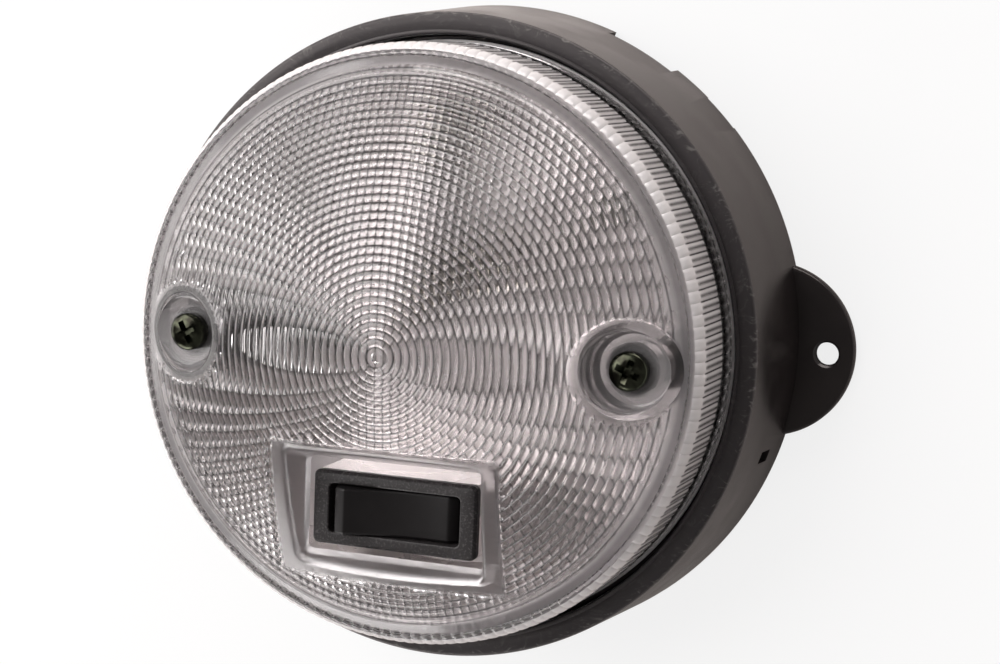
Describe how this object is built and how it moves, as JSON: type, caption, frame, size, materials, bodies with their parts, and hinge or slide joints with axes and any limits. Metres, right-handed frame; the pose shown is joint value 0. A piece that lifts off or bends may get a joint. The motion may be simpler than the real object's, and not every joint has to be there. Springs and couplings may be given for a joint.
{
  "type": "car interior light",
  "caption": "Round surface-mounted car interior light with a domed clear lens, a rocker switch in the lens window and two fixing ears.",
  "frame": {"origin": "centre of the mounting face, the plane of the housing's rear rim", "axes": "+Z along the lamp's axis out of the lens, +X through a fixing ear and a lens screw, -Y towards the rocker switch"},
  "size_m": [0.1466, 0.126, 0.0577],
  "materials": {
    "housing": "satin black moulding with a fine grain",
    "lens": "clear moulding with rings outside and flutes inside",
    "gasket": "light foam rubber",
    "lens_screw": "dark zinc",
    "reflector": "light grey moulding",
    "screw": "zinc",
    "bulb_glass": "clear",
    "bulb_cap": "nickel plate",
    "contact": "bright spring brass",
    "switch_body": "fine-grained charcoal moulding",
    "rocker": "satin black moulding",
    "plunger": "natural nylon",
    "spring": "spring wire"
  },
  "bodies": {
    "base": {"housing": "housing", "lens": "lens", "lens_gasket": "gasket", "lens_screw_left": "lens_screw", "lens_screw_right": "lens_screw", "reflector": "reflector", "reflector_screw_left": "screw", "reflector_screw_right": "screw", "bulb_glass": "bulb_glass", "bulb_cap_top": "bulb_cap", "bulb_cap_bottom": "bulb_cap", "bulb_contact_top": "contact", "bulb_contact_bottom": "contact", "contact_rivet_top": "contact", "contact_rivet_bottom": "contact", "switch_body": "switch_body", "switch_terminal_feed": "contact", "switch_terminal_lamp": "contact", "switch_terminal_door": "contact", "feed_strip": "contact", "lamp_strip": "contact", "earth_strip": "contact", "door_strip": "contact"},
    "key": {"rocker": "rocker", "switch_plunger": "plunger", "switch_spring": "spring"},
    "blade": {"contact_blade": "contact"}
  },
  "joints": [
    {"name": "rocker_tilt", "type": "hinge", "parent": "base", "child": "key", "pos_m": [0, -0.0296, 0.044], "axis": [0, -1, 0], "range_deg": [0, 20]},
    {"name": "blade_tilt", "type": "hinge", "parent": "base", "child": "blade", "pos_m": [0, -0.0296, 0.0332], "axis": [0, 1, 0], "range_deg": [0, 16]}
  ],
  "couplings": [
    {"joint": "blade_tilt", "follows": "rocker_tilt", "ratio": 0.8}
  ]
}
